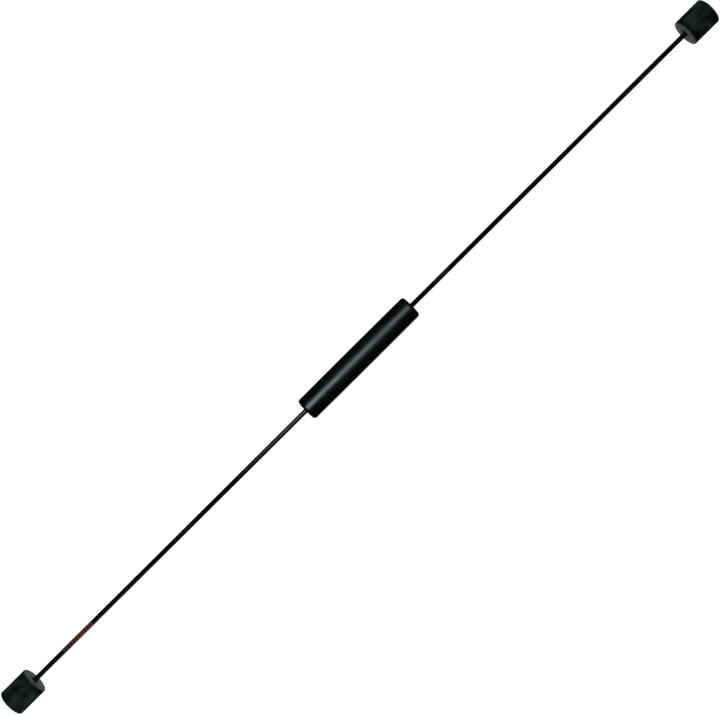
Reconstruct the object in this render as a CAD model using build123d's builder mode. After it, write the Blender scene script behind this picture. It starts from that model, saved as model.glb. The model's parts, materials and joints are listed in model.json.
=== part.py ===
"""Flexible exercise bar: a thin glass-fibre rod with a rubber grip and two rubber end weights.

Frame: +X along the rod, +Z up, origin at the middle of the rod's axis. All sizes in mm.
"""

import os
from math import radians, tan

from build123d import *

os.makedirs("parts", exist_ok=True)

# Rod: one straight round bar of constant thickness.
bar_length = 1560.0
rod_radius = 4.0
rod_end_chamfer = 0.5

# Grip: a solid rubber sleeve, a little thicker in its middle than at its ends, and glued on a
# little to the left of the rod's middle.
grip_length = 236.0
grip_middle = -2.8
grip_middle_radius = 20.0
grip_end_radius = 19.75
grip_edge_round = 5.0
grip_mouth_chamfer = 0.6

# End weights: solid rubber cylinders, each with a blind socket for the rod's end.
weight_length = 52.0
weight_radius = 23.25
weight_edge_round = 1.5
socket_depth = 47.0
socket_mouth_chamfer = 0.8

# Adhesive that fills the gap between rod and rubber, kept back from each open mouth.
bond_thickness = 0.15
bond_setback = 1.5

# Labels: a printed film wrapped most of the way round the rod, near each weight.
label_middle = {"left": 631.0, "right": 633.5}
label_length = {"left": 65.0, "right": 86.0}
label_thickness = 0.12
label_wrap = 330.0  # degrees
label_facing = {"left": 0.0, "right": 160.0}  # degrees from straight up, towards -Y

# Flexing: the rod is cut into short rigid lengths that turn on upright axes. The bend of a rod
# loaded at its tip falls off evenly from the grip to the weight, and each cut takes its share.
flex_count = 6
flex_pitch = 78.0
root_bend = 8.5  # degrees each way at the cut nearest the grip
bend_clearance = 1.0  # degrees
cut_gap = 0.05  # half the gap on the axis

sides = {"left": -1, "right": 1}
bar_end = bar_length / 2
weight_face = bar_end - weight_length
weight_middle = bar_end - weight_length / 2
socket_end = weight_face + socket_depth
rod_end = socket_end - bond_thickness
bore_radius = rod_radius + bond_thickness
cuts = [grip_length / 2 + flex_pitch * (i + 0.5) for i in range(flex_count)]


def cut_relief(cut):
    """How far a length's end is cut back at its rim, so that its neighbour can turn past it."""
    share = (weight_middle - cut) / (weight_middle - cuts[0])
    return rod_radius * tan(radians(root_bend * share / 2 + bend_clearance))


def near_end(cut):
    """Outline of the coned end that starts just beyond a cut, from the axis to the surface."""
    return [(cut + cut_gap, 0), (cut + cut_gap + cut_relief(cut), rod_radius)]


def far_end(cut):
    """Outline of the coned end that stops just short of a cut, from the surface to the axis."""
    return [(2 * cut - x, y) for x, y in reversed(near_end(cut))]


def save(piece, name):
    """Labels a finished piece and writes it as its own file."""
    piece.part.label = name
    export_step(piece.part, f"parts/{name}.step")


# Half sections of the rod's lengths. The middle one runs through the grip to the first cut on
# each side, and the others are numbered outwards. The last ones end inside the weights.
rod_outlines = {
    "rod_middle": [(-x, y) for x, y in reversed(far_end(cuts[0]))] + far_end(cuts[0]),
}
tip_end = [
    (rod_end - rod_end_chamfer, rod_radius),
    (rod_end, rod_radius - rod_end_chamfer),
    (rod_end, 0),
]
for number, cut in enumerate(cuts, start=1):
    outer_end = far_end(cuts[number]) if number < flex_count else tip_end
    for side_name, side in sides.items():
        outline = near_end(cut) + outer_end
        rod_outlines[f"rod_{side_name}_{number}"] = [(side * x, y) for x, y in outline]

for name, outline in rod_outlines.items():
    with BuildPart() as rod_length:
        with BuildSketch():
            with BuildLine():
                Polyline(*outline, close=True)
            make_face()
        revolve(axis=Axis.X)
    save(rod_length, name)

# Grip sleeve, barrelled, with rounded ends and a bore right through.
with BuildPart() as grip_sleeve:
    with BuildSketch():
        with BuildLine():
            start, end = grip_middle - grip_length / 2, grip_middle + grip_length / 2
            barrel = ThreePointArc(
                (start, grip_end_radius), (grip_middle, grip_middle_radius), (end, grip_end_radius)
            )
            Polyline(barrel @ 1, (end, bore_radius), (start, bore_radius), barrel @ 0)
        make_face()
    revolve(axis=Axis.X)
    rings = grip_sleeve.edges().filter_by(Plane.YZ).group_by(SortBy.RADIUS)
    chamfer(rings[0], length=grip_mouth_chamfer)
    fillet(rings[-1], radius=grip_edge_round)
save(grip_sleeve, "grip_sleeve")

# Adhesive between the rod and the grip.
with BuildPart() as grip_bond:
    with BuildSketch(Plane.YZ.offset(grip_middle - grip_length / 2 + bond_setback)):
        Circle(bore_radius)
        Circle(rod_radius, mode=Mode.SUBTRACT)
    extrude(amount=grip_length - 2 * bond_setback)
save(grip_bond, "grip_bond")

for side_name, side in sides.items():
    outwards = Plane.YZ if side > 0 else -Plane.YZ

    # End weight, with all its outer edges rounded and its socket opening towards the grip.
    with BuildPart() as weight:
        with BuildSketch(outwards.offset(weight_face)):
            Circle(weight_radius)
        extrude(amount=weight_length)
        fillet(weight.edges().filter_by(GeomType.CIRCLE), radius=weight_edge_round)
        with BuildSketch(outwards.offset(weight_face)):
            Circle(bore_radius)
        extrude(amount=socket_depth, mode=Mode.SUBTRACT)
        rings = weight.edges().filter_by(GeomType.CIRCLE)
        bore_rings = rings.filter_by(lambda ring: abs(ring.radius - bore_radius) < 0.01)
        mouth = bore_rings.sort_by(lambda ring: abs(ring.center().X))[0]
        chamfer(mouth, length=socket_mouth_chamfer)
    save(weight, f"weight_{side_name}")

    # Adhesive in the socket: a thin cup round the rod's end.
    with BuildPart() as weight_bond:
        with BuildSketch(outwards.offset(weight_face + bond_setback)):
            Circle(bore_radius)
        extrude(amount=socket_depth - bond_setback)
        with BuildSketch(outwards.offset(weight_face + bond_setback)):
            Circle(rod_radius)
        extrude(amount=rod_end - weight_face - bond_setback, mode=Mode.SUBTRACT)
    save(weight_bond, f"weight_bond_{side_name}")

    # Printed film label: a thin strip turned most of the way round the rod.
    with BuildPart() as label:
        first_edge = 90 + label_facing[side_name] - label_wrap / 2
        with BuildSketch(Plane.XY.rotated((first_edge, 0, 0))):
            place = (side * label_middle[side_name], rod_radius + label_thickness / 2)
            with Locations(place):
                Rectangle(label_length[side_name], label_thickness)
        revolve(axis=Axis.X, revolution_arc=label_wrap)
    save(label, f"label_{side_name}")
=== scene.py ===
"""Looks of the flexible exercise bar: glossy black rod, rubber grip, rubber end weights, labels.

The CAD model gives every place and size. The rod, grip, weights and labels are rebuilt here as
finer meshes that stand for their CAD nodes, and the adhesive films are the CAD nodes themselves.
"""

import json
import math

import bpy
import numpy as np
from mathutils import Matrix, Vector


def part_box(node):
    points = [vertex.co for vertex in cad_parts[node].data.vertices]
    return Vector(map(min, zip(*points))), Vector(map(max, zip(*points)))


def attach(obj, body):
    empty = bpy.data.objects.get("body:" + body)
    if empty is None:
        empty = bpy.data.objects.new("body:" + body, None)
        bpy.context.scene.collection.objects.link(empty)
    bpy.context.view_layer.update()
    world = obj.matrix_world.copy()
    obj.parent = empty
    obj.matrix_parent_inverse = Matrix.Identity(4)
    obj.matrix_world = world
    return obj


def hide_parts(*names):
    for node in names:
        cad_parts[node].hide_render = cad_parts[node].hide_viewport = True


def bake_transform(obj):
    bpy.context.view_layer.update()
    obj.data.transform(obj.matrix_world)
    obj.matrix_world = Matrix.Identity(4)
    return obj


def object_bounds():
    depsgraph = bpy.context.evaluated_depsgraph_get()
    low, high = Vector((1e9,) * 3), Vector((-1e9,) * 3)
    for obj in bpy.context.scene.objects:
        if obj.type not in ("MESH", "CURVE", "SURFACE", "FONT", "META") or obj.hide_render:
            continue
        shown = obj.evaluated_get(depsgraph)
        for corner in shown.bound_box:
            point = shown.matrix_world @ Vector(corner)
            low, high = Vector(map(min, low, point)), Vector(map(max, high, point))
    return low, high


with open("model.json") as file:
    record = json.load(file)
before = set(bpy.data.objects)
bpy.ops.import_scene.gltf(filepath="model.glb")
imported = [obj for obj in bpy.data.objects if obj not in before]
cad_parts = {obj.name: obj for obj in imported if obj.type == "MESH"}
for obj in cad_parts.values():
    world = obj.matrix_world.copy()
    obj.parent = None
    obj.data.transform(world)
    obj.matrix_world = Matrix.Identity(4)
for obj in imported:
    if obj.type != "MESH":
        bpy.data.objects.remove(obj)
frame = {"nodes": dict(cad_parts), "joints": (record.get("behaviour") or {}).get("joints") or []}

cad_low, cad_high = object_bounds()

MM = 0.001
SIDES = {"left": -1, "right": 1}

# ---------------------------------------------------------------- sizes, from the CAD model

rod_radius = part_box("rod_middle")[1].z
grip_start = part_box("grip_sleeve")[0].x
grip_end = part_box("grip_sleeve")[1].x
grip_length = grip_end - grip_start
grip_middle_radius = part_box("grip_sleeve")[1].z
weight_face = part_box("weight_right")[0].x
weight_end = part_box("weight_right")[1].x
weight_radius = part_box("weight_right")[1].y
bore_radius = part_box("grip_bond")[1].z
socket_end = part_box("weight_bond_right")[1].x
label_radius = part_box("label_left")[1].z

joints = {joint["name"]: joint for joint in frame["joints"]}
flex_count = sum(name.startswith("right_flex_") for name in joints)
flex_places = [joints[f"right_flex_{i}"]["pos_m"][0] for i in range(1, flex_count + 1)]
flex_pitch = flex_places[1] - flex_places[0]
rod_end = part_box(f"rod_right_{flex_count}")[1].x

# Shapes that a box doesn't give.
grip_end_radius = grip_middle_radius - 0.25 * MM
grip_edge_round = 5 * MM
grip_mouth_round = 0.6 * MM
weight_edge_round = 1.5 * MM
weight_mouth_round = 0.8 * MM
grip_dull_place = 12 * MM  # the middle of the stretch that hands have dulled
seam_height = 0.12 * MM
seam_width = 0.5 * MM
label_arc = math.radians(330)
label_facing = {"left": 0.0, "right": math.radians(160)}  # from straight up, towards -Y
label_corner = 2.5 * MM
label_lift = 0.01 * MM  # between the rod and the film
label_band = 3.8 * MM  # half the printed band's height, round the rod
label_bar_pitch = 6.0 * MM
label_tick_pitch = 7.6 * MM
label_bar_slant = 0.35  # metres along the bar for each metre across
label_margin = 1.6 * MM  # unprinted, at the weight's end

# How finely the round shapes are divided.
rod_sides = 64
grip_sides = 144
weight_sides = 112
rod_step = 2 * MM
side_step = 4 * MM
face_step = 3 * MM
sharp_corner = math.radians(35)  # corners turned by more than this stay sharp

# Camera: straight above the bar, turned so that the bar rises from lower left to upper right.
camera_height = 2.185
camera_turn = math.radians(44.82)
camera_off_centre = 1.0 * MM  # towards the picture's lower edge
camera_sensor = 36.0  # millimetres, as is the lens
camera_lens = 68.8
camera_reach = 500.0  # past the floor's far corner

# Stage: a floor so wide that its edge is never seen, with the lights level above it.
floor_half_width = 150.0
light_height = 1.2


# ---------------------------------------------------------------- mesh building

def add_piece(name, points, faces):
    """A mesh object in the row frame, smooth but for its sharp corners, that remembers where each
    of its points is at rest, for its material to read."""
    mesh = bpy.data.meshes.new(name)
    mesh.from_pydata(points, [], faces)
    mesh.validate()
    mesh.shade_smooth()
    mesh.set_sharp_from_angle(angle=sharp_corner)
    place = mesh.attributes.new("rest_place", "FLOAT_VECTOR", "POINT")
    place.data.foreach_set("vector", np.array(points, np.float32).ravel())
    piece = bpy.data.objects.new(name, mesh)
    bpy.context.scene.collection.objects.link(piece)
    return piece


def round_corner(centre, radius, start, end, steps=8):
    """Points of an arc about (x, radius) centre, from one angle to another in degrees."""
    angles = np.radians(np.linspace(start, end, steps + 1))
    return [(centre[0] + radius * math.cos(a), centre[1] + radius * math.sin(a)) for a in angles]


def even_angles(count, seams=()):
    """Angles round the bar, evenly spaced, with five close ones at each seam."""
    angles = [2 * math.pi * (i + 0.5) / count for i in range(count)]
    for seam, width in seams:
        angles = [a for a in angles if abs(a - seam) > 1.2 * width]
        angles += [seam - width, seam - width / 2, seam, seam + width / 2, seam + width]
    return sorted(angles)


def lathe(name, outline, angles, lift=None):
    """A solid turned about the X axis from (x, radius) points. Points on the axis become poles,
    and an outline with none is a closed ring. lift(radius, angle) is added to each radius."""
    points, rings, faces = [], [], []
    for x, radius in outline:
        if radius == 0:
            rings.append([len(points)])
            points.append((x, 0, 0))
            continue
        rings.append(list(range(len(points), len(points) + len(angles))))
        for angle in angles:
            r = radius + (lift(radius, angle) if lift else 0)
            points.append((x, -r * math.sin(angle), r * math.cos(angle)))
    closed = all(len(ring) > 1 for ring in rings)
    pairs = list(zip(rings, rings[1:])) + ([(rings[-1], rings[0])] if closed else [])
    count = len(angles)
    for low, high in pairs:
        for i in range(count):
            j = (i + 1) % count
            if len(low) == 1:
                faces.append((low[0], high[j], high[i]))
            elif len(high) == 1:
                faces.append((low[i], low[j], high[0]))
            else:
                faces.append((low[i], low[j], high[j], high[i]))
    return add_piece(name, points, faces)


def flip_if_inside_out(piece):
    """Turns a closed mesh's faces outwards."""
    mesh = piece.data
    volume = 0.0
    for face in mesh.polygons:
        corners = [mesh.vertices[v].co for v in face.vertices]
        for a, b in zip(corners[1:], corners[2:]):
            volume += corners[0].dot(a.cross(b))
    if volume < 0:
        mesh.flip_normals()


def along(start, end, step):
    """Evenly spaced values from start to end, no further apart than step."""
    count = max(1, math.ceil(abs(end - start) / step))
    return [start + (end - start) * i / count for i in range(count + 1)]


# ---------------------------------------------------------------- materials

class Look:
    """A procedural material. Constants go straight onto the shader's own sockets. coordinates names
    the attribute that holds each point's place, and None stands for object coordinates."""

    def __init__(self, name, coordinates="rest_place", **constants):
        self.material = bpy.data.materials.new(name)
        self.material.use_nodes = True
        self.tree = self.material.node_tree
        self.shader = self.tree.nodes["Principled BSDF"]
        for socket, value in constants.items():
            self.shader.inputs[socket.replace("_", " ")].default_value = value
        if coordinates:
            source = self.node("ShaderNodeAttribute", attribute_name=coordinates)
            self.place = source.outputs["Vector"]
        else:
            self.place = self.node("ShaderNodeTexCoord").outputs["Object"]

    def node(self, kind, inputs=None, **settings):
        """A node with its settings and inputs. An input is a value or another node's output."""
        made = self.tree.nodes.new(kind)
        for key, value in settings.items():
            setattr(made, key, value)
        for key, value in (inputs or {}).items():
            if isinstance(value, bpy.types.NodeSocket):
                self.tree.links.new(value, made.inputs[key])
            else:
                made.inputs[key].default_value = value
        return made

    def maths(self, operation, *values):
        """The result of a Math node."""
        inputs = dict(enumerate(values))
        return self.node("ShaderNodeMath", inputs, operation=operation).outputs[0]

    def noise(self, scale, detail=3.0, roughness=0.5, seed=0.0):
        """Noise from 0 to 1. scale is one number, or one for each axis, in cycles per metre. Each
        seed takes another part of the noise."""
        scales = scale if isinstance(scale, tuple) else (scale,) * 3
        start = (seed, seed * 1.7, seed * 0.6)
        inputs = {0: self.place, 1: scales, 2: start}
        vector = self.node("ShaderNodeVectorMath", inputs, operation="MULTIPLY_ADD").outputs[0]
        inputs = {"Vector": vector, "Scale": 1.0, "Detail": detail, "Roughness": roughness}
        return self.node("ShaderNodeTexNoise", inputs).outputs["Fac"]

    def ramp(self, value, *stops):
        """A smooth ramp of (place, colour) stops."""
        made = self.node("ShaderNodeValToRGB", {"Fac": value})
        made.color_ramp.interpolation = "EASE"
        while len(made.color_ramp.elements) < len(stops):
            made.color_ramp.elements.new(0.5)
        for element, (place, colour) in zip(made.color_ramp.elements, stops):
            element.position = place
            element.color = (*colour, 1.0)
        return made.outputs["Color"]

    def between(self, value, low, high, start=0.0, end=1.0):
        """value mapped from start..end to low..high, and held at both ends."""
        inputs = {"Value": value, "From Min": start, "From Max": end, "To Min": low, "To Max": high}
        return self.node("ShaderNodeMapRange", inputs).outputs["Result"]

    def mix(self, share, first, second):
        """Two colours mixed by share. The node's sockets for colours are 6 and 7, and output 2."""
        colours = [(*c, 1.0) if isinstance(c, tuple) else c for c in (first, second)]
        inputs = {0: share, 6: colours[0], 7: colours[1]}
        return self.node("ShaderNodeMix", inputs, data_type="RGBA").outputs[2]

    def bump(self, height, depth, below=None):
        """A bump of that depth in metres, on top of another bump if below is given."""
        inputs = {"Height": height, "Distance": depth, "Strength": 1.0}
        if below is not None:
            inputs["Normal"] = below
        return self.node("ShaderNodeBump", inputs).outputs["Normal"]

    def wire(self, **sockets):
        """Links outputs to the shader's inputs, and gives back the material."""
        for name, output in sockets.items():
            self.tree.links.new(output, self.shader.inputs[name.replace("_", " ")])
        return self.material


def rod_material():
    """Pultruded glass-fibre rod: black, glossy, with faint lengthwise fibre lines and scuffs."""
    look = Look("rod_glass_fibre", IOR=1.43)
    fibres = look.noise((5.0, 1400.0, 1400.0), detail=4.0)
    scuffs = look.noise((25.0, 160.0, 160.0), detail=5.0, roughness=0.65, seed=7.0)
    smears = look.noise((9.0, 60.0, 60.0), detail=2.0, seed=3.0)
    colour = look.ramp(fibres, (0.3, (0.0012, 0.0012, 0.0012)), (0.75, (0.0036, 0.0036, 0.0038)))
    gloss = look.maths("ADD", look.between(smears, 0.06, 0.11, 0.3, 0.7),
                       look.between(scuffs, 0.0, 0.12, 0.62, 0.76))
    surface = look.bump(fibres, 0.006 * MM)
    surface = look.bump(scuffs, 0.010 * MM, surface)
    return look.wire(Base_Color=colour, Roughness=gloss, Normal=surface)


def grip_material():
    """Satin moulded rubber, a little duller in the middle, where hands hold it."""
    look = Look("grip_rubber", IOR=1.61, Specular_Tint=(0.72, 1.0, 1.05, 1.0))
    grain = look.noise(2600.0, detail=2.0)
    waves = look.noise((28.0, 45.0, 45.0), detail=2.0, seed=11.0)
    patches = look.noise((35.0, 70.0, 70.0), detail=5.0, roughness=0.6, seed=5.0)
    colour = look.ramp(patches, (0.35, (0.0010, 0.0026, 0.0012)), (0.70, (0.0026, 0.0046, 0.0032)))
    along_bar = look.node("ShaderNodeSeparateXYZ", {0: look.place}).outputs[0]
    from_middle = look.maths("ABSOLUTE", look.maths("SUBTRACT", along_bar, grip_dull_place))
    worn = look.between(from_middle, 0.41, 0.31, 0.22 * grip_length, 0.55 * grip_length)
    gloss = look.maths("ADD", worn, look.between(patches, -0.04, 0.04, 0.3, 0.7))
    gloss = look.maths("ADD", gloss, look.between(grain, -0.03, 0.03))
    surface = look.bump(waves, 0.10 * MM)
    surface = look.bump(grain, 0.012 * MM, surface)
    return look.wire(Base_Color=colour, Roughness=gloss, Normal=surface)


def weight_material():
    """Matte, mottled rubber of the weights' sides, darker and duller next to the inner face."""
    look = Look("weight_rubber", IOR=1.60, Specular_Tint=(0.55, 1.0, 0.96, 1.0))
    mottle = look.noise((60.0, 80.0, 80.0), detail=4.0, roughness=0.5, seed=21.0)
    grain = look.noise(1900.0, detail=2.0)
    colour = look.ramp(mottle, (0.36, (0.0016, 0.0068, 0.0050)), (0.66, (0.0250, 0.0480, 0.0455)))
    along_bar = look.node("ShaderNodeSeparateXYZ", {0: look.place}).outputs[0]
    from_face = look.maths("SUBTRACT", look.maths("ABSOLUTE", along_bar), weight_face)
    inward = look.between(from_face, 0.0, 1.0, 3.0 * MM, 12.0 * MM)
    colour = look.mix(inward, (0.0008, 0.0028, 0.0022), colour)
    gloss = look.maths("ADD", look.between(mottle, 0.44, 0.58, 0.3, 0.7),
                       look.between(inward, 0.30, 0.0))
    surface = look.bump(mottle, 0.10 * MM)
    surface = look.bump(grain, 0.02 * MM, surface)
    return look.wire(Base_Color=colour, Roughness=gloss, Normal=surface)


def weight_face_material():
    """Paler, drier rubber of the weights' flat ends, its paleness partly painted light falling on
    the ends, with painted shade darker towards the top and, on the inner face, a painted shadow
    round the socket."""
    look = Look("weight_face_rubber", IOR=1.50)
    dust = look.noise(110.0, detail=5.0, roughness=0.65, seed=31.0)
    grain = look.noise(1500.0, detail=3.0)
    inputs = {0: look.place, 1: (0.0, 1.0, 1.0)}
    across = look.node("ShaderNodeVectorMath", inputs, operation="MULTIPLY").outputs["Vector"]
    radius = look.node("ShaderNodeVectorMath", {0: across}, operation="LENGTH").outputs["Value"]
    # Paleness: partly the drier rubber's own tone, partly painted light standing for light falling
    # on the flat ends.
    dry_and_lit = look.ramp(dust, (0.30, (0.062, 0.078, 0.075)), (0.72, (0.125, 0.152, 0.147)))
    along_bar, _, height = look.node("ShaderNodeSeparateXYZ", {0: look.place}).outputs
    # Painted shade: the ends darken towards the top, standing for less light reaching there.
    shade_towards_top = look.between(height, 0.0, 0.75, 0.1 * weight_radius, weight_radius)
    dry_and_lit = look.mix(shade_towards_top, dry_and_lit, (0.030, 0.040, 0.037))
    # Painted shadow: a dark ring on the inner face round the socket, where the rod enters.
    clear_of_socket_shadow = look.between(radius, 0.0, 1.0, 1.15 * rod_radius, 1.9 * rod_radius)
    outer_end = look.maths("GREATER_THAN", look.maths("ABSOLUTE", along_bar), socket_end)
    colour = look.mix(look.maths("MAXIMUM", clear_of_socket_shadow, outer_end), (0.012, 0.018, 0.017), dry_and_lit)
    gloss = look.between(dust, 0.62, 0.80, 0.3, 0.7)
    surface = look.bump(grain, 0.03 * MM)
    return look.wire(Base_Color=colour, Roughness=gloss, Normal=surface)


def adhesive_material():
    """Cured amber-brown adhesive."""
    look = Look("cured_adhesive", coordinates=None, IOR=1.50)
    lumps = look.noise(600.0, detail=3.0)
    colour = look.ramp(lumps, (0.3, (0.035, 0.028, 0.018)), (0.7, (0.085, 0.066, 0.040)))
    gloss = look.between(lumps, 0.30, 0.50)
    return look.wire(Base_Color=colour, Roughness=gloss, Normal=look.bump(lumps, 0.03 * MM))


def label_material():
    """Glossy printed film on black: a band of slanted pale bars on a wash that runs from tan at the
    weight's end to red at the grip's end, and faint grey ticks on the rest of the wrap.
    print_place is (share of the length, metres across, metres along)."""
    look = Look("label_print", coordinates="print_place", IOR=1.50)
    share, across, along_film = look.node("ShaderNodeSeparateXYZ", {0: look.place}).outputs
    from_middle = look.maths("ABSOLUTE", across)
    slanted = look.maths("MULTIPLY_ADD", across, label_bar_slant, along_film)

    def stripes(pitch, width):
        """1 on stripes of that share of the pitch, and 0 between them, with soft edges."""
        soft = 0.03
        turns = look.maths("FRACT", look.maths("DIVIDE", slanted, pitch))
        ridge = look.maths("ABSOLUTE", look.maths("SUBTRACT", turns, 0.5))
        return look.between(ridge, 1.0, 0.0, width / 2 - soft, width / 2 + soft)

    wash = look.ramp(
        share,
        (0.00, (0.060, 0.019, 0.006)), (0.34, (0.078, 0.022, 0.006)), (0.46, (0.155, 0.025, 0.003)),
        (0.60, (0.185, 0.026, 0.012)), (0.74, (0.085, 0.024, 0.008)), (0.90, (0.155, 0.022, 0.014)),
    )
    pale = look.ramp(
        share,
        (0.00, (0.150, 0.074, 0.040)), (0.34, (0.190, 0.088, 0.044)), (0.48, (0.310, 0.092, 0.032)),
        (0.62, (0.370, 0.080, 0.050)), (0.74, (0.240, 0.098, 0.058)), (0.95, (0.300, 0.098, 0.080)),
    )
    band = look.mix(stripes(label_bar_pitch, 0.45), wash, pale)
    black = (0.006, 0.005, 0.005)
    faint = look.ramp(
        share,
        (0.00, (0.070, 0.044, 0.046)), (0.25, (0.054, 0.050, 0.045)), (0.50, (0.110, 0.042, 0.042)),
        (0.66, (0.052, 0.040, 0.032)), (0.85, (0.056, 0.052, 0.048)), (1.00, (0.062, 0.045, 0.032)),
    )
    ticks = look.mix(stripes(label_tick_pitch, 0.5), black, faint)
    in_band = look.between(from_middle, 1.0, 0.0, label_band - 0.2 * MM, label_band)
    in_ticks = look.between(from_middle, 0.0, 1.0, label_band + 1.6 * MM, label_band + 1.8 * MM)
    wear = look.noise((3.0, 60.0, 90.0), detail=3.0, seed=2.0)
    ticks = look.mix(look.between(wear, 0.25, 1.0, 0.40, 0.62), black, ticks)
    specks = look.noise((90.0, 900.0, 900.0), detail=3.0, seed=2.0)
    colour = look.mix(in_band, look.mix(in_ticks, black, ticks), band)
    blur = 0.4 * MM
    printed = look.between(along_film, 0.0, 1.0, label_margin - blur, label_margin + blur)
    colour = look.mix(printed, black, colour)
    gloss = look.between(specks, 0.20, 0.32, 0.3, 0.7)
    return look.wire(Base_Color=colour, Roughness=gloss)


# ---------------------------------------------------------------- rod

def rod_piece(name, start, end, side, material, node):
    """A length of rod between two places on one side, closed at both ends, that stands for node."""
    outline = [(start, 0), *((x, rod_radius) for x in along(start, end, rod_step)), (end, 0)]
    piece = lathe(name, [(side * x, r) for x, r in outline], even_angles(rod_sides))
    flip_if_inside_out(piece)
    piece.data.materials.append(material)
    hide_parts(node)
    return piece


def build_rod():
    """The rod in one unbroken line: a straight middle, a stretch round each flex joint, and a
    straight tip on each side that ends inside the weight."""
    material = rod_material()
    bend_start = flex_places[0] - flex_pitch / 2
    bend_end = flex_places[-1] + flex_pitch / 2
    middle = rod_piece("rod_core", -bend_start, bend_start, 1, material, "rod_middle")
    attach(middle, "handle")
    for side_name, side in SIDES.items():
        inner_body = "handle"
        for number, place in enumerate(flex_places, start=1):
            outer_body = f"{side_name}_arm_{number}"
            node = f"rod_{side_name}_{number}"
            name = f"rod_bend_{side_name}_{number}"
            start, end = place - flex_pitch / 2, place + flex_pitch / 2
            bend = rod_piece(name, start, end, side, material, node)
            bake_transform(bend)
            inner_body = outer_body
        tip = rod_piece(f"rod_tip_{side_name}", bend_end, rod_end, side, material, node)
        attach(tip, inner_body)


# ---------------------------------------------------------------- grip

def build_grip():
    """The barrelled grip with rounded ends, a bore for the rod, and two faint mould seams."""
    edge, mouth = grip_edge_round, grip_mouth_round
    start, end, end_radius = grip_start, grip_end, grip_end_radius
    middle, half = (start + end) / 2, (end - start) / 2
    crown = grip_middle_radius - end_radius
    ring_share = 0.6  # of end_radius, where each flat end has a ring of points
    seams_from = 0.7  # of end_radius, beyond which the seams lie
    outline = [(start, bore_radius + mouth), (start, ring_share * end_radius)]
    outline += round_corner((start + edge, end_radius - edge), edge, 180, 90, steps=14)
    for x in along(start + edge, end - edge, side_step)[1:-1]:
        outline.append((x, end_radius + crown * (1 - ((x - middle) / (half - edge)) ** 2)))
    outline += round_corner((end - edge, end_radius - edge), edge, 90, 0, steps=14)
    outline += [(end, ring_share * end_radius), (end, bore_radius + mouth)]
    outline += round_corner((end - mouth, bore_radius + mouth), mouth, 0, -90, steps=4)[1:]
    outline += round_corner((start + mouth, bore_radius + mouth), mouth, 270, 180, steps=4)[:-1]

    seam_angle = seam_width / grip_middle_radius
    seams = [(math.pi / 2, seam_angle), (3 * math.pi / 2, seam_angle)]

    def seam_lift(radius, angle):
        """How far the mould seams stand out. There are none in the bore or near it."""
        if radius < seams_from * end_radius:
            return 0
        off = min(abs(angle - seam) for seam, _ in seams)
        return seam_height * max(0.0, 1 - off / (seam_angle / 2))

    grip = lathe("grip_sleeve_rubber", outline, even_angles(grip_sides, seams), seam_lift)
    flip_if_inside_out(grip)
    grip.data.materials.append(grip_material())
    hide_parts("grip_sleeve")
    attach(grip, "handle")


# ---------------------------------------------------------------- weights

def build_weight(side_name, side, side_material, face_material):
    """A rubber cylinder with rounded edges, flat ends of another rubber look, and a socket for
    the rod."""
    edge, mouth = weight_edge_round, weight_mouth_round
    face, end, radius = weight_face, weight_end, weight_radius
    flat_end = 0.95  # how squarely a polygon that belongs to a flat end faces along the bar
    outline = [(socket_end, 0), (socket_end, bore_radius)]
    outline += round_corner((face + mouth, bore_radius + mouth), mouth, 270, 180, steps=4)
    outline += [(face, r) for r in along(bore_radius + mouth, radius - edge, face_step)[1:-1]]
    outline += round_corner((face + edge, radius - edge), edge, 180, 90, steps=8)
    outline += [(x, radius) for x in along(face + edge, end - edge, side_step)[1:-1]]
    outline += round_corner((end - edge, radius - edge), edge, 90, 0, steps=8)
    outline += [(end, r) for r in along(radius - edge, rod_radius, face_step)[1:]]
    outline.append((end, 0))

    outline = [(side * x, r) for x, r in outline]
    weight = lathe(f"weight_{side_name}_rubber", outline, even_angles(weight_sides))
    flip_if_inside_out(weight)
    weight.data.materials.append(side_material)
    weight.data.materials.append(face_material)
    for polygon in weight.data.polygons:
        polygon.material_index = int(abs(polygon.normal.x) > flat_end)
    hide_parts(f"weight_{side_name}")
    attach(weight, f"{side_name}_arm_{flex_count}")


# ---------------------------------------------------------------- labels

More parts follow.
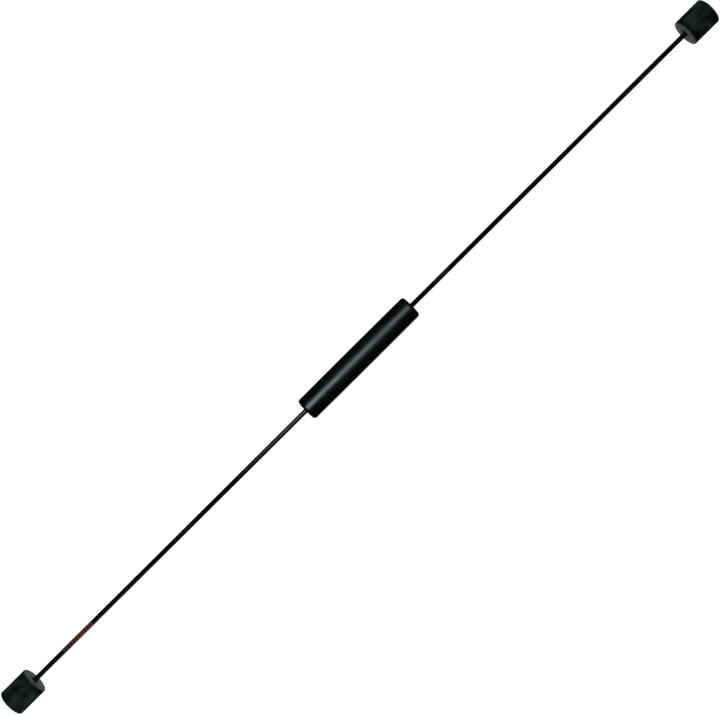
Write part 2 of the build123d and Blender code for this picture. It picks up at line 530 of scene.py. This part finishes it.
def build_label(side_name, side, material):
    """A thin film wrapped part of the way round the rod, with rounded corners."""
    low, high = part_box(f"label_{side_name}")
    start, end = sorted((abs(low.x), abs(high.x)))
    length = end - start
    inner, outer = rod_radius + label_lift, label_radius
    half_arc = label_arc / 2
    corner_steps, middle_steps, rows = 8, 40, 48

    corner_turns = [math.pi / 2 * i / corner_steps for i in range(corner_steps + 1)]
    corner = [label_corner * (1 - math.cos(turn)) for turn in corner_turns]
    middle = along(label_corner, length - label_corner, (length - 2 * label_corner) / middle_steps)
    columns = corner + middle[1:-1] + [length - d for d in reversed(corner)]

    points, prints, faces = [], [], []
    for radius in (outer, inner):
        for column in columns:
            from_end = min(column, length - column)
            inset = max(0.0, label_corner - from_end)
            cut = label_corner - math.sqrt(label_corner**2 - inset**2)
            reach = half_arc - cut / rod_radius
            for row in range(rows + 1):
                turn = reach * (2 * row / rows - 1)
                angle = label_facing[side_name] + turn
                x = side * (end - column)
                points.append((x, -radius * math.sin(angle), radius * math.cos(angle)))
                prints.append((column / length, rod_radius * turn, column))
    width = rows + 1
    layer = len(columns) * width

    def wall(a, b):
        """Joins the two layers along the edge from one point to the next."""
        faces.append((a, b, layer + b, layer + a))

    for i in range(len(columns) - 1):
        for j in range(rows):
            a = i * width + j
            faces.append((a, a + 1, a + width + 1, a + width))
            faces.append((layer + a, layer + a + width, layer + a + width + 1, layer + a + 1))
        wall(i * width, (i + 1) * width)
        wall((i + 1) * width + rows, i * width + rows)
    last = (len(columns) - 1) * width
    for j in range(rows):
        wall(j + 1, j)
        wall(last + j, last + j + 1)

    label = add_piece(f"label_{side_name}_film", points, faces)
    flip_if_inside_out(label)
    place = label.data.attributes.new("print_place", "FLOAT_VECTOR", "POINT")
    place.data.foreach_set("vector", np.array(prints, np.float32).ravel())
    label.data.materials.append(material)
    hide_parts(f"label_{side_name}")
    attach(label, f"{side_name}_arm_{flex_count}")


# ---------------------------------------------------------------- stage, lights and camera

def floor_material():
    """White paint with a glow of its own, so that it is white even where no light reaches it."""
    paint = bpy.data.materials.new("floor_white")
    paint.use_nodes = True
    nodes, links = paint.node_tree.nodes, paint.node_tree.links
    nodes.remove(nodes["Principled BSDF"])
    glow = nodes.new("ShaderNodeEmission")
    glow.inputs["Strength"].default_value = 1.0
    matte = nodes.new("ShaderNodeBsdfDiffuse")
    matte.inputs["Color"].default_value = (0.5, 0.5, 0.5, 1.0)
    both = nodes.new("ShaderNodeAddShader")
    links.new(glow.outputs[0], both.inputs[0])
    links.new(matte.outputs[0], both.inputs[1])
    links.new(both.outputs[0], nodes["Material Output"].inputs["Surface"])
    return paint


def build_floor():
    """A white floor that lights the bar softly from below but doesn't show in its gloss."""
    reach, height = floor_half_width, cad_low.z
    corners = [(-reach, -reach), (reach, -reach), (reach, reach), (-reach, reach)]
    mesh = bpy.data.meshes.new("floor")
    mesh.from_pydata([(x, y, height) for x, y in corners], [], [(0, 1, 2, 3)])
    mesh.materials.append(floor_material())
    floor = bpy.data.objects.new("floor", mesh)
    bpy.context.scene.collection.objects.link(floor)
    floor.visible_glossy = False


def add_light(name, centre, width, depth, radiance, aim=(0, 0, -1)):
    """A rectangular light that faces along aim. Its brightness doesn't depend on its size."""
    light = bpy.data.lights.new(name, "AREA")
    light.shape = "RECTANGLE"
    light.size, light.size_y = width, depth
    light.energy = radiance * math.pi * width * depth
    lamp = bpy.data.objects.new(name, light)
    lamp.location = centre
    lamp.rotation_euler = Vector(aim).to_track_quat("-Z", "Y").to_euler()
    lamp.visible_camera = False
    bpy.context.scene.collection.objects.link(lamp)


def build_key_light():
    """One long soft box over the grip, a little towards +Y, whose light fades towards -X. It is a
    stack of lights, one just above another, that share their +X edge."""
    layers, layer_gap = 5, 5 * MM
    low_start, start_step, end = -0.42, 0.05, 0.12
    middle_y, depth, radiance = 0.26, 0.68, 1.3
    for layer in range(layers):
        start = low_start + start_step * layer
        centre = ((start + end) / 2, middle_y, light_height + layer_gap * layer)
        add_light("key", centre, end - start, depth, radiance)


def build_arm_lights():
    """Dim panels far out along the bar for a sheen on the arms and weights, a narrow strip over
    each arm for a short bright stretch of rod, and a low light beside each weight."""
    depth = 0.5
    panel_y, strip_y = 0.05, 0.215
    add_light("panel_left", (-1.08, panel_y, light_height), 0.64, depth, 0.42)
    add_light("panel_right", (1.31, panel_y, light_height), 0.38, depth, 0.95)
    add_light("strip_left", (-0.605, strip_y, light_height), 0.05, depth, 2.0)
    add_light("strip_right", (0.28, strip_y, light_height), 0.04, depth, 2.7)

    side_x, side_y, side_height = 0.95, 1.3, 0.30
    side_width, side_depth, side_radiance = 0.4, 0.3, 1.2
    for side_name, side in SIDES.items():
        beside = Vector((side_x * side, side_y * side, side_height))
        aim = Vector((weight_face * side, 0, 0)) - beside
        add_light(f"side_{side_name}", beside, side_width, side_depth, side_radiance, aim)


def build_world():
    """White beyond the floor, seen by the camera only."""
    world = bpy.data.worlds.new("white")
    world.use_nodes = True
    world.node_tree.nodes["Background"].inputs["Color"].default_value = (1, 1, 1, 1)
    world.cycles_visibility.diffuse = False
    world.cycles_visibility.glossy = False
    bpy.context.scene.world = world


def build_camera():
    """Looks straight down on the bar."""
    camera = bpy.data.cameras.new("camera")
    camera.sensor_width = camera_sensor
    camera.lens = camera_lens
    camera.clip_end = camera_reach
    body = bpy.data.objects.new("camera", camera)
    body.rotation_euler = (0, 0, -camera_turn)
    picture_up = Vector((math.sin(camera_turn), math.cos(camera_turn), 0))
    body.location = Vector((0, 0, camera_height)) - camera_off_centre * picture_up
    bpy.context.scene.collection.objects.link(body)
    bpy.context.scene.camera = body


# ---------------------------------------------------------------- the whole scene

build_rod()
build_grip()
side_rubber, face_rubber, film = weight_material(), weight_face_material(), label_material()
for side_name, side in SIDES.items():
    build_weight(side_name, side, side_rubber, face_rubber)
    build_label(side_name, side, film)
adhesive = adhesive_material()
for node in ("grip_bond", "weight_bond_left", "weight_bond_right"):
    frame["nodes"][node].data.materials.clear()
    frame["nodes"][node].data.materials.append(adhesive)

build_floor()
build_key_light()
build_arm_lights()
build_world()
build_camera()
bpy.context.scene.view_settings.view_transform = "Standard"
